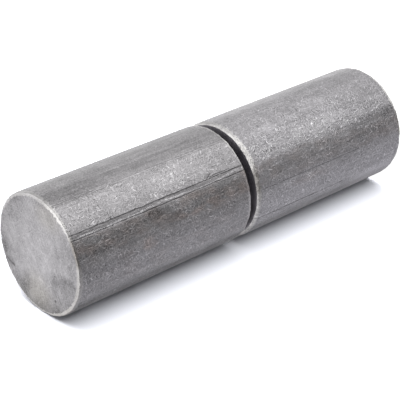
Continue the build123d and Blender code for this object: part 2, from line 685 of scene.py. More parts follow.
@dataclass(frozen=True, kw_only=True)
class TumbledSteel(BarSteel):
    """Black hot-rolled bar, tumbled until its scale is worn to a dull grey.

    To the eye: a soft grey sheen in lengthwise bands, dense short curled scratches that catch the light, dark
    rolled-in seams, brown tints where scale is left, and rims rubbed bright. The bands along the underside
    are painted shade. Sizes are in millimetres across and along the bar.
    """

    bands: tuple[Band, ...]
    # A real scratch is about a tenth of a millimetre wide or less. These are drawn wider, so that they show
    flecks: tuple[Fleck, ...] = (
        Fleck(1.5, 0.16, 2.1, 1.0),
        Fleck(1.8, 0.16, 2.4, 1.0),
        Fleck(1.4, 0.15, 2.0, 0.9),
        Fleck(1.1, 0.14, 1.6, 0.7),
        Fleck(1.7, 0.15, 2.4, 0.9),
        Fleck(1.5, 0.15, 2.0, -0.6),
    )
    scale: str = "#aca3a1"
    dirt: tuple[float, float] = (0.003, 0.04)
    # How far the edge of a band strays, in degrees, and how scratched the bar is outside them all
    edge_drift: float = 2.2
    least_scratched: float = 0.3
    # The scale's grain and the lines of its rolling are finer in the steel too, and are drawn coarser
    grain_size: float = 0.36
    streak_size: tuple[float, float, float] = (0.5, 0.5, 16)
    dash_size: tuple[float, float, float] = (0.5, 0.5, 4)
    cloud_size: tuple[float, float, float] = (3.5, 3.5, 6)
    mark_tone: float = 0.9
    grain_tone: float = 0.36
    streak_tone: float = 0.18
    cloud_tone: float = 0.09
    # How much of the grain and the streaks scratches cover, and how much they break into dashes
    grain_cover: float = 0.13
    streak_cover: float = 0.06
    dash_tone: float = 0.05
    mark_relief: float = 0.04
    grain_relief: float = 0.01

    def look(self, tree: Tree, place: Socket) -> Look:
        """Draws bands, streaks, patches and flecks on the scale, with dark seams and bright rims.

        Args:
            tree: The material's tree.
            place: The point, in millimetres.

        Returns:
            What the shader takes from it.
        """
        outward = add(tree, "ShaderNodeVectorMath", place, (1, 1, 0), operation="MULTIPLY")
        outward = add(tree, "ShaderNodeVectorMath", outward, operation="NORMALIZE")
        tone, scratched, brown = self.regions(tree, place)
        mark = scratches(tree, place, outward, self.flecks)
        patchy = uneven(tree, place, (4, 4, 6), 0.5, 1.3)
        mark = add(tree, "ShaderNodeMath", mark, patchy, operation="MULTIPLY")
        mark = add(tree, "ShaderNodeMath", mark, scratched, operation="MULTIPLY")
        grain = uneven(tree, place, self.grain_size, -1.0, 1.0)
        streak = uneven(tree, place, self.streak_size, -1.0, 1.0, 3.0)
        dash = uneven(tree, place, self.dash_size, -1.0, 1.0)
        cloud = uneven(tree, place, self.cloud_size, -1.0, 1.0, 3.0)
        # Where fewer scratches cover it, more of the scale's own grain and of its rolling shows
        speckled = add(tree, "ShaderNodeMath", scratched, -self.grain_cover, self.grain_tone,
                       operation="MULTIPLY_ADD")
        rolled = add(tree, "ShaderNodeMath", scratched, -self.streak_cover, self.streak_tone,
                     operation="MULTIPLY_ADD")
        dashed = add(tree, "ShaderNodeMath", scratched, self.dash_tone, operation="MULTIPLY")
        tones = [
            (tone, 1.0),
            (mark, self.mark_tone),
            (grain, speckled),
            (streak, rolled),
            (dash, dashed),
            (cloud, self.cloud_tone),
        ]
        left = uneven(tree, place, (3, 3, 6), -0.6, 2.0, 3.0)
        brown = add(tree, "ShaderNodeMath", brown, left, operation="MULTIPLY", use_clamp=True)
        packed = uneven(tree, place, (1.5, 1.5, 3), 0.25, 0.75)
        colour = self.weathered_and_shaded(tree, place, outward, brown, tones, packed)
        relief = add(tree, "ShaderNodeMath", mark, self.mark_relief, operation="MULTIPLY")
        relief = add(tree, "ShaderNodeMath", grain, self.grain_relief, relief, operation="MULTIPLY_ADD")
        return Look(colour, uneven(tree, place, 2.0, 0.36, 0.44), relief)

    def regions(self, tree: Tree, place: Socket) -> TreatmentAndShade:
        """Adds up the bands and the patches.

        Args:
            tree: The material's tree.
            place: The point, in millimetres.

        Returns:
            What they come to at the point.
        """
        drift = uneven(tree, place, (8, 8, 16), -self.edge_drift, self.edge_drift, 3.0)
        bearing = add(tree, "ShaderNodeMath", self.bearing(tree, place), drift, operation="ADD")
        height = add(tree, "ShaderNodeSeparateXYZ", place, out="Z")
        spot = add(tree, "ShaderNodeCombineXYZ", bearing, height)
        regions = [(band, band.within(tree, bearing)) for band in self.bands]
        regions += [(patch, patch.within(tree, spot)) for patch in self.patches]
        totals = [0.0, self.least_scratched, 0.0]
        for region, within in regions:
            shares = (region.tone, region.flecks, region.brown)
            totals = [add(tree, "ShaderNodeMath", within, share, total, operation="MULTIPLY_ADD")
                      for share, total in zip(shares, totals)]
        return TreatmentAndShade(*totals)


@dataclass(frozen=True, kw_only=True)
class SawnSteel(BarSteel):
    """The bar's cut end, its saw marks tumbled almost away.

    To the eye: paler than the side, faintly brushed across, with cloudy darker patches towards its edge.
    `rim` is the end's radius in millimetres, and `rim_tone` is how much its tone changes from near the middle
    out to there.
    """

    # Scratches and grain are drawn coarser than real ones, so that they show
    flecks: tuple[Fleck, ...] = (
        Fleck(2.4, 0.3, 3.4, 1.0),
        Fleck(1.9, 0.26, 2.6, -1.0),
        Fleck(2.1, 0.3, 3.0, 0.8),
    )
    scale: str = "#b3aea4"
    dirt: tuple[float, float] = (0.01, 0.12)
    dirt_share: float = 0.7
    rim: float = 20.0
    rim_tone: float = -0.26
    saw_angle: float = 62.0
    saw_size: tuple[float, float, float] = (9, 0.5, 9)
    saw_tone: float = 0.08
    saw_relief: float = 0.008
    cloud_size: float = 5.0
    cloud_tone: float = 0.13
    grain_size: float = 0.45
    grain_tone: float = 0.15
    grain_relief: float = 0.006
    mark_tone: float = 0.18

    def look(self, tree: Tree, place: Socket) -> Look:
        """Draws saw marks, clouds, patches and pits, darker towards the bright rim.

        Args:
            tree: The material's tree.
            place: The point, in millimetres.

        Returns:
            What the shader takes from it.
        """
        upward = add(tree, "ShaderNodeCombineXYZ", 0.0, 0.0, 1.0)
        turned = add(tree, "ShaderNodeVectorRotate", place, named={"Angle": radians(self.saw_angle)},
                     rotation_type="Z_AXIS")
        saw = uneven(tree, turned, self.saw_size, -1.0, 1.0)
        cloud = uneven(tree, place, self.cloud_size, -1.0, 1.0, 4.0)
        grain = uneven(tree, place, self.grain_size, -1.0, 1.0)
        mark = scratches(tree, place, upward, self.flecks)
        flat = add(tree, "ShaderNodeVectorMath", place, (1, 1, 0), operation="MULTIPLY")
        radius = add(tree, "ShaderNodeVectorMath", flat, operation="LENGTH", out="Value")
        outer = add(tree, "ShaderNodeMapRange", radius, self.rim * 0.1, self.rim, 0.0, self.rim_tone)
        tones = [
            (outer, 1.0),
            (saw, self.saw_tone),
            (cloud, self.cloud_tone),
            (grain, self.grain_tone),
            (mark, self.mark_tone),
        ]
        brown = 0.0
        for patch in self.patches:
            within = patch.within(tree, flat)
            tones.append((within, patch.tone))
            brown = add(tree, "ShaderNodeMath", within, patch.brown, brown, operation="MULTIPLY_ADD",
                        use_clamp=True)
        colour = self.weathered_and_shaded(tree, place, upward, brown, tones, self.dirt_share)
        relief = add(tree, "ShaderNodeMath", saw, self.saw_relief, operation="MULTIPLY")
        relief = add(tree, "ShaderNodeMath", grain, self.grain_relief, relief, operation="MULTIPLY_ADD")
        return Look(colour, uneven(tree, place, 3.0, 0.44, 0.54), relief)


@dataclass(frozen=True)
class GreasedSteel(Finish):
    """The faced surfaces inside the gap, under old grease.

    To the eye: dull grey-brown, a little wet in places, with turned rings showing through.
    """

    # A facing tool leaves finer rings than these, which are drawn coarser to show
    ring_size: float = 0.35
    ring_tone: float = 0.1
    ring_relief: float = 0.006
    film_size: float = 4.0
    film_tone: float = 0.15

    def look(self, tree: Tree, place: Socket) -> Look:
        """Draws turned rings under an uneven film.

        Args:
            tree: The material's tree.
            place: The point, in millimetres.

        Returns:
            What the shader takes from it.
        """
        flat = add(tree, "ShaderNodeVectorMath", place, (1, 1, 0), operation="MULTIPLY")
        radius = add(tree, "ShaderNodeVectorMath", flat, operation="LENGTH", out="Value")
        ringed = add(tree, "ShaderNodeCombineXYZ", radius)
        rings = uneven(tree, ringed, self.ring_size, -1.0, 1.0)
        film = uneven(tree, place, self.film_size, -1.0, 1.0, 3.0)
        colour = self.shade(tree, self.grey, [(rings, self.ring_tone), (film, self.film_tone)])
        relief = add(tree, "ShaderNodeMath", rings, self.ring_relief, operation="MULTIPLY")
        return Look(colour, uneven(tree, place, self.film_size, 0.55, 0.75), relief)


@dataclass(frozen=True)
class CutSteel(Finish):
    """Steel turned, bored or ground about the pin's axis.

    To the eye: brighter than the bar, with fine rings round it, a drift of oil and a duller shine between.
    `ring` is the size of the rings and `depth` their relief, in millimetres, `shine` the least roughness and
    `oil` how much the oil changes the tone. Real rings lie closer, and are drawn coarser to show.
    """

    ring: float
    depth: float
    shine: float
    oil: float
    ring_tone: float = 0.08

    def look(self, tree: Tree, place: Socket) -> Look:
        """Draws rings of one spacing, and an uneven film of oil.

        Args:
            tree: The material's tree.
            place: The point, in millimetres.

        Returns:
            What the shader takes from it.
        """
        rings = uneven(tree, place, (30, 30, self.ring), -1.0, 1.0)
        film = uneven(tree, place, (6, 6, 10), -1.0, 1.0, 3.0)
        colour = self.shade(tree, self.grey, [(rings, self.ring_tone), (film, self.oil)])
        relief = add(tree, "ShaderNodeMath", rings, self.depth, operation="MULTIPLY")
        return Look(colour, uneven(tree, place, 5.0, self.shine, self.shine * 1.5), relief)


# ---------------------------------------------------------------------------
# Turned pieces
# ---------------------------------------------------------------------------


class Zone(Enum):
    """Which surface of a turned piece a ring of its profile belongs to."""

    SIDE = 0
    END = 1
    GAP = 2
    BORE = 3

    @property
    def finish_input(self) -> str:
        """The name of the tree's input for this zone's finish."""
        return f"{self.name.title()} Finish"


@dataclass(frozen=True)
class Ring:
    """One ring of a profile, in metres, with the zone that starts there and how exposed to wear it is."""

    radius: float
    height: float
    zone: Zone
    wear: float = 0.0


class TurnedTree:
    """The Geometry Nodes tree that turns a profile into a worn solid."""

    def __init__(self, name: str, grooves: tuple[Groove, ...]) -> None:
        """Builds the tree.

        Args:
            name: The tree's name.
            grooves: The cuts and pits in this piece's surface.
        """
        self.tree = bpy.data.node_groups.new(name, "GeometryNodeTree")
        self.sockets: dict[str, str] = {}
        self.declare("Geometry", "NodeSocketGeometry")
        self.declare("Divisions", "NodeSocketInt")
        for label in ("Fine Bearing", "Crowding", "Rim Wear", "Seed"):
            self.declare(label, "NodeSocketFloat")
        for zone in Zone:
            self.declare(zone.finish_input, "NodeSocketMaterial")
        self.tree.interface.new_socket("Geometry", in_out="OUTPUT", socket_type="NodeSocketGeometry")
        self.given = self.tree.nodes.new("NodeGroupInput").outputs
        self.dressed(self.worn(self.spun(), grooves))

    def declare(self, name: str, kind: str) -> None:
        """Adds a named input and keeps its identifier."""
        socket = self.tree.interface.new_socket(name, in_out="INPUT", socket_type=kind)
        self.sockets[name] = socket.identifier

    def spun(self) -> Socket:
        """Spins the profile into a grid, whose rows are the rings and whose columns go round the axis.

        Returns:
            The closed mesh, with each face's zone and each point's wear stored on it.
        """
        tree, given = self.tree, self.given
        profile = given["Geometry"]
        rings = add(tree, "GeometryNodeAttributeDomainSize", profile)
        columns = add(tree, "ShaderNodeMath", given["Divisions"], 1.0, operation="ADD")
        grid = add(tree, "GeometryNodeMeshGrid", 1.0, 1.0, columns, rings)

        index = add(tree, "GeometryNodeInputIndex")
        row = add(tree, "ShaderNodeMath", index, rings, operation="MODULO")
        column = add(tree, "ShaderNodeMath", index, rings, operation="DIVIDE")
        column = add(tree, "ShaderNodeMath", column, operation="FLOOR")
        share = add(tree, "ShaderNodeMath", column, given["Divisions"], operation="DIVIDE")
        side = add(tree, "ShaderNodeMapRange", share, 0.0, 1.0, -1.0, 1.0)

        # Columns crowd together at the fine bearing: turn = crowding * side + (1 - crowding) * side cubed
        cubed = add(tree, "ShaderNodeMath", side, 3.0, operation="POWER")
        turn = add(tree, "ShaderNodeMix", given["Crowding"], cubed, side, data_type="FLOAT")
        turn = add(tree, "ShaderNodeMath", turn, pi, operation="MULTIPLY")
        turn = add(tree, "ShaderNodeMath", turn, given["Fine Bearing"], operation="ADD")

        point = add(tree, "GeometryNodeInputPosition")
        point = add(tree, "GeometryNodeSampleIndex", profile, point, row, data_type="FLOAT_VECTOR")
        split = add(tree, "ShaderNodeSeparateXYZ", point).node.outputs
        waves = [add(tree, "ShaderNodeMath", turn, operation=wave) for wave in ("COSINE", "SINE")]
        flat = [add(tree, "ShaderNodeMath", wave, split["X"], operation="MULTIPLY") for wave in waves]
        place = add(tree, "ShaderNodeCombineXYZ", *flat, split["Z"])

        exposure = add(tree, "GeometryNodeInputNamedAttribute", "wear", data_type="FLOAT")
        exposure = add(tree, "GeometryNodeSampleIndex", profile, exposure, row, data_type="FLOAT")
        zone = add(tree, "GeometryNodeInputNamedAttribute", "zone", data_type="INT")
        face_rows = add(tree, "ShaderNodeMath", rings, 1.0, operation="SUBTRACT")
        face_row = add(tree, "ShaderNodeMath", index, face_rows, operation="MODULO")
        zone = add(tree, "GeometryNodeSampleIndex", profile, zone, face_row, data_type="INT")

        mesh = add(tree, "GeometryNodeStoreNamedAttribute", grid, None, "wear", exposure, data_type="FLOAT")
        mesh = add(tree, "GeometryNodeStoreNamedAttribute", mesh, None, "zone", zone,
                   data_type="INT", domain="FACE")
        mesh = add(tree, "GeometryNodeSetPosition", mesh, None, place)
        return add(tree, "GeometryNodeMergeByDistance", mesh, None, WELD)

    def worn(self, mesh: Socket, grooves: tuple[Groove, ...]) -> Socket:
        """Cuts the grooves and wears the rims, all of it inward.

        Args:
            mesh: The turned mesh.
            grooves: The cuts and pits.

        Returns:
            The worn mesh.
        """
        tree, given = self.tree, self.given
        place = add(tree, "GeometryNodeInputPosition")
        normal = add(tree, "GeometryNodeInputNormal")
        cuts = total_cut(tree, place, normal, grooves)
        exposure = add(tree, "GeometryNodeInputNamedAttribute", "wear", data_type="FLOAT")
        chips = add(tree, "ShaderNodeTexNoise", place, given["Seed"], RIM_CHIPS, 3.0, 0.6,
                    noise_dimensions="4D")
        chips = add(tree, "ShaderNodeMapRange", chips, 0.35, 0.7, 0.1, 1.0)
        rim = add(tree, "ShaderNodeMath", exposure, chips, operation="MULTIPLY")
        rim = add(tree, "ShaderNodeMath", rim, given["Rim Wear"], operation="MULTIPLY")
        inward = add(tree, "ShaderNodeMath", cuts, rim, operation="ADD")
        inward = add(tree, "ShaderNodeMath", inward, -1.0, operation="MULTIPLY")
        offset = add(tree, "ShaderNodeVectorMath", normal, named={"Scale": inward}, operation="SCALE")
        return add(tree, "GeometryNodeSetPosition", mesh, None, None, offset)

    def dressed(self, mesh: Socket) -> None:
        """Shades the mesh, keeps its corners crisp and gives each zone its finish.

        Args:
            mesh: The worn mesh.
        """
        tree, given = self.tree, self.given
        angle = add(tree, "GeometryNodeInputMeshEdgeAngle")
        corner = add(tree, "FunctionNodeCompare", angle, radians(CRISP_TURN), operation="GREATER_THAN")
        mesh = add(tree, "GeometryNodeSetShadeSmooth", mesh, None, True)
        mesh = add(tree, "GeometryNodeSetShadeSmooth", mesh, corner, False, domain="EDGE")
        mesh = add(tree, "GeometryNodeRealizeInstances", mesh)
        zone_of_face = add(tree, "GeometryNodeInputNamedAttribute", "zone", data_type="INT")
        for zone in Zone:
            here = add(tree, "FunctionNodeCompare", zone_of_face, zone.value, data_type="INT",
                       operation="EQUAL")
            mesh = add(tree, "GeometryNodeSetMaterial", mesh, here, given[zone.finish_input])
        tree.links.new(mesh, tree.nodes.new("NodeGroupOutput").inputs[0])


@dataclass
class Turned:
    """A solid of revolution about the pin's axis, made by the turning tree.

    Where `crowding` is below 1, its columns crowd together at `fine_bearing`. `rim_wear` is the most that its
    rims lose.
    """

    name: str
    body: str
    node: str
    slot: str
    divisions: int = 160
    fine_bearing: float = 0.0
    crowding: float = 1.0
    rim_wear: float = 0.0
    seed: float = 0.0

    def profile(self) -> list[Ring]:
        """Lists the rings, from the bottom of the axis up the outside to the top of the axis."""
        raise NotImplementedError

    def grooves(self) -> tuple[Groove, ...]:
        """Lists the cuts and pits in the surface, none on a plain piece."""
        return ()

    def finishes(self) -> dict[Zone, Finish]:
        """Chooses the finish of each zone that the piece has."""
        raise NotImplementedError

    def profile_mesh(self) -> bpy.types.Mesh:
        """Lays the rings out as a row of points that carry their zone and wear.

        Returns:
            A mesh of points joined by edges, radius along X.
        """
        rings = self.profile()
        mesh = bpy.data.meshes.new(self.name)
        links = [(i, i + 1) for i in range(len(rings) - 1)]
        mesh.from_pydata([(r.radius, 0.0, r.height) for r in rings], links, [])
        zone = mesh.attributes.new("zone", "INT", "POINT")
        zone.data.foreach_set("value", [r.zone.value for r in rings])
        wear = mesh.attributes.new("wear", "FLOAT", "POINT")
        wear.data.foreach_set("value", [r.wear for r in rings])
        return mesh

    def build(self) -> bpy.types.Object:
        """Turns the piece, bakes it to a plain mesh and hangs it on its body.

        Returns:
            The finished object.
        """
        piece = new_object(self.name, self.profile_mesh())
        turning = TurnedTree(self.name, self.grooves())
        modifier = piece.modifiers.new("turned", "NODES")
        modifier.node_group = turning.tree
        values = {
            "Divisions": self.divisions,
            "Fine Bearing": radians(self.fine_bearing),
            "Crowding": self.crowding,
            "Rim Wear": self.rim_wear,
            "Seed": self.seed,
        }
        for zone, finish in self.finishes().items():
            values[zone.finish_input] = finish.build()
        for label, value in values.items():
            modifier[turning.sockets[label]] = value
        graph = bpy.context.evaluated_depsgraph_get()
        solid = bpy.data.meshes.new_from_object(piece.evaluated_get(graph), depsgraph=graph)
        piece.modifiers.clear()
        piece.data = solid
        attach(piece, self.body)
        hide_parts(self.node)
        return piece


def rounded(
    centre: tuple[float, float],
    size: float,
    first: float,
    last: float,
    steps: int,
    flat: float = 0.0,
) -> list[tuple[float, float]]:
    """Finds the points of an arc in a profile, worn flatter where asked.

    Args:
        centre: The arc's centre, as radius and height.
        size: The arc's own radius.
        first: The angle it starts at, in degrees from straight out.
        last: The angle it ends at.
        steps: How many chords it has.
        flat: 0 for a true arc, 1 for a straight bevel.

    Returns:
        Pairs of radius and height, both ends included.
    """
    shares = [i / steps for i in range(steps + 1)]
    turns = [radians(first + (last - first) * share) for share in shares]
    arc = [Vector((centre[0] + size * cos(a), centre[1] + size * sin(a))) for a in turns]
    return [tuple(point.lerp(arc[0].lerp(arc[-1], share), flat)) for point, share in zip(arc, shares)]


@dataclass
class BarHalf(Turned):
    """Half of the hinge: sawn, tumbled bar with a blind bore in the face towards the gap.

    `free_round` and `gap_round` are the radii of its rims, and `free_flat` and `gap_flat` say how far each is
    worn towards a bevel.
    """

    slot: str = "tumbled_steel"
    grey: str = "#aaa8aa"
    divisions: int = 520
    fine_bearing: float = -142.5
    crowding: float = 0.2
    rim_wear: float = 0.28 * MM
    free_round: float = 0.6 * MM
    gap_round: float = 0.6 * MM
    free_flat: float = 0.0
    gap_flat: float = 0.75
    bore_radius: float = 10.0 * MM
    bore_depth: float = 32.0 * MM
    drill_radius: float = 9.0 * MM
    point_angle: float = 118.0
    mouth: float = 0.5 * MM
    opens_up: bool = True
    # How far wear reaches from a rim, and how many rows of faces each stretch of the profile gets
    rim_reach: float = 1.0 * MM
    rim_rows: int = 4
    arc_rows: int = 6
    ramp_rows: int = 5
    side_rows: int = 96
    end_rows: int = 12
    wall_rows: int = 6
    cone_rows: int = 4
    bands: tuple[Band, ...] = ()
    patches: tuple[Patch, ...] = ()
    end_patches: tuple[Patch, ...] = ()
    rims: tuple[Rim, ...] = ()
    radius: float = field(init=False)
    foot: float = field(init=False)
    top: float = field(init=False)

    def __post_init__(self) -> None:
        """Reads the half's place from the frame."""
        low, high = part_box(self.node)
        self.radius = max(high.x, high.y)
        self.foot, self.top = low.z, high.z

    def finishes(self) -> dict[Zone, Finish]:
        """Chooses a tumbled side, a sawn end, a greased gap face and a bored hole.

        Returns:
            The finish of each zone.
        """
        marks = {"grooves": self.grooves(), "rims": self.rims}
        side = {"bands": self.bands, "patches": self.patches}
        return {
            Zone.SIDE: TumbledSteel("tumbled_steel", self.grey, **side, **marks),
            Zone.END: SawnSteel("sawn_steel", "#aeacaf", patches=self.end_patches, **marks),
            Zone.GAP: GreasedSteel("greased_steel", "#98959b"),
            Zone.BORE: CutSteel("bored_steel", "#7c7b7a", ring=0.4, depth=0.01, shine=0.3, oil=0.2),
        }

    def profile(self) -> list[Ring]:
        """Lists the rings of a half whose bore opens upward, turned over if it opens downward.

        Returns:
            The rings, from the bottom up.
        """
        length = self.top - self.foot
        rings = self.end_rings() + self.side_rings(length) + self.gap_rings(length) + self.bore_rings(length)
        rings = [replace(ring, height=self.foot + ring.height) for ring in rings]
        if self.opens_up:
            return rings
        # Turned over, each ring's zone belongs to the face before it, so the zones move along by one
        zones = [rings[0].zone] + [ring.zone for ring in rings[:-1]]
        middle = self.foot + self.top
        turned = [replace(ring, height=middle - ring.height, zone=zone) for ring, zone in zip(rings, zones)]
        return turned[::-1]

    def end_rings(self) -> list[Ring]:
        """Lists the rings of the sawn free end, from its centre out to the edge break.

        Returns:
            The rings, at height 0.
        """
        edge = self.radius - self.free_round
        inner = [edge * i / self.end_rows for i in range(self.end_rows)]
        outer = [edge - self.rim_reach * (1 - i / self.rim_rows) for i in range(self.rim_rows + 1)]
        flat = [Ring(r, 0.0, Zone.END) for r in inner if r < outer[0] - self.rim_reach / 2]
        return flat + [Ring(r, 0.0, Zone.END, i / self.rim_rows) for i, r in enumerate(outer)]

    def side_rings(self, length: float) -> list[Ring]:
        """Lists the rings of the rounded edges and of the side between them.

        Args:
            length: The half's length.

        Returns:
            The rings, from the free end to the gap.
        """
        foot = rounded((self.radius - self.free_round, self.free_round), self.free_round, -90, 0,
                       self.arc_rows, self.free_flat)
        head = rounded((self.radius - self.gap_round, length - self.gap_round), self.gap_round, 0, 90,
                       self.arc_rows, self.gap_flat)
        first = self.free_round + self.rim_reach
        last = length - self.gap_round - self.rim_reach
        ramp = [i / self.ramp_rows for i in range(1, self.ramp_rows + 1)]
        side = [first + (last - first) * i / self.side_rows for i in range(1, self.side_rows + 1)]
        rings = [Ring(r, a, Zone.SIDE, 1.0) for r, a in foot[1:]]
        rings += [Ring(self.radius, self.free_round + self.rim_reach * s, Zone.SIDE, 1 - s) for s in ramp]
        rings += [Ring(self.radius, a, Zone.SIDE) for a in side]
        rings += [Ring(self.radius, last + self.rim_reach * s, Zone.SIDE, s) for s in ramp]
        return rings + [Ring(r, a, Zone.SIDE, 1.0) for r, a in head[1:-1]]

    def gap_rings(self, length: float) -> list[Ring]:
        """Lists the rings of the face towards the gap, from its edge break in to the bore's mouth.

        Args:
            length: The half's length.

        Returns:
            The rings.
        """
        edge, mouth = self.radius - self.gap_round, self.bore_radius + self.mouth
        rings = [Ring(edge - self.rim_reach * i / self.rim_rows, length, Zone.GAP, 1 - i / self.rim_rows)
                 for i in range(self.rim_rows + 1)]
        inner = rings[-1].radius
        ramp = [inner + (mouth - inner) * i / self.ramp_rows for i in range(1, self.ramp_rows + 1)]
        return rings + [Ring(r, length, Zone.GAP) for r in ramp]

    def bore_rings(self, length: float) -> list[Ring]:
        """Lists the rings of the bore, from its mouth down to the drill's point.

        Args:
            length: The half's length.

        Returns:
            The rings.
        """
        shoulder = length - self.bore_depth
        cone = self.drill_radius / tan(radians(self.point_angle / 2))
        wall_top = length - self.mouth
        wall = [wall_top + (shoulder - wall_top) * i / self.wall_rows for i in range(self.wall_rows + 1)]
        shares = [i / self.cone_rows for i in range(self.cone_rows + 1)]
        rings = [Ring(self.bore_radius, a, Zone.BORE) for a in wall]
        return rings + [Ring(self.drill_radius * (1 - s), shoulder - cone * s, Zone.BORE) for s in shares]


@dataclass
class LowerHalf(BarHalf):
    """The post half, which the pin is pressed into."""

    name: str = "post_bar"
    body: str = "post_half"
    node: str = "lower_barrel"
    grey: str = "#b2b0b3"
    fine_bearing: float = -170.5
    gap_round: float = 0.9 * MM
    seed: float = 3.0
    # Lightest low on the right. The last four go round the back
    bands: tuple[Band, ...] = (
        Band(-108, -88, 8, 0.05, 0.5),
        Band(-145.5, -108, 6, -0.1, 1.0),
        Band(-145.5, -127, 6, 0.02, 0.5),
        Band(-128, -116, 6, -0.06),
        Band(-169, -145.5, 3, -0.09, 0.45, 0.25),
        Band(-151, -142, 5, -0.08),
        Band(-169, -160, 4, 0.1),
        Band(-205, -171, 10, -0.02, 0.6),
        # Painted shade: this band darkens the underside, on the side towards the card, where the bar lies
        Band(-250, -212, 10, -0.3),
        Band(-60, -5, 8, 0.04, 0.8),
        Band(-5, 60, 6, -0.08, 0.4, 0.25),
        Band(-350, -295, 8, -0.08, 0.4, 0.25),
        Band(-295, -255, 10, 0.02, 0.7),
    )
    # Brighter and more scratched in the middle, duller towards the free end
    patches: tuple[Patch, ...] = (
        Patch(-117, 56, 6, 4, 0.26),
        Patch(-132, 38, 7, 15, 0.12, 0.5),
        Patch(-128, 29, 7, 5, 0.12, 0.4),
        Patch(-108, 33, 6, 9, 0.13, 0.2),
        Patch(-99, 58, 10, 3, -0.07),
        Patch(-158, 20, 9, 14, -0.06),
        Patch(-130, 8, 22, 15, -0.13, -0.4),
        Patch(-146, 10, 5, 17, -0.13),
        Patch(-212, 50, 14, 26, -0.1),
        Patch(-86, 20, 8, 26, -0.07),
        Patch(-149, 5.5, 6, 3, -0.12),
        Patch(-178, 44, 7, 13, 0.06, 0.3, 0.2),
        Patch(-147, 69, 9, 1.2, -0.06, 0.0, 0.6),
        # Painted light: this patch lightens the underside near the free end, over the painted shade of its
        # band
        Patch(-214, 8, 16, 16, 0.4),
    )
    # A dark corner, a dark drift across and a rubbed middle
    end_patches: tuple[Patch, ...] = (
        Patch(9, 12, 6, 3, -0.14),
        Patch(-13, 5, 3, 7, -0.12),
        Patch(4, -12, 9, 2.5, -0.1),
        Patch(-2, 1, 7, 6, 0.07),
    )
    # Bare nearly all round, widest on the upper right
    rims: tuple[Rim, ...] = (
        Rim(-400, 400, 1, 0.8),
        Rim(-104, -60, 10, -0.2),
        Rim(-142, -124, 14, 0.2, 0.22),
        Rim(-124, -104, 14, -0.02, 0.1),
        Rim(-174, -150, 12, 0.1, 0.1, 0.65),
        Rim(-240, -178, 16, -0.45),
    )

    def grooves(self) -> tuple[Groove, ...]:
        """Lists two hairline seams, a short scratch across the bar and a pit below the gap.

        Returns:
            The grooves.
        """
        side = self.radius
        return (
            Groove.along(side, (-170.5, 22 * MM), (-170, self.top), 0.5, 0.05),
            Groove.along(side, (-201.5, 28 * MM), (-201.5, self.top), 0.9, 0.06),
            Groove.along(side, (-131, 13.7 * MM), (-144, 13.2 * MM), 0.4, 0.03),
            Groove.along(side, (-85.2, 63.6 * MM), (-85.4, 63.8 * MM), 0.8, 0.25),
        )


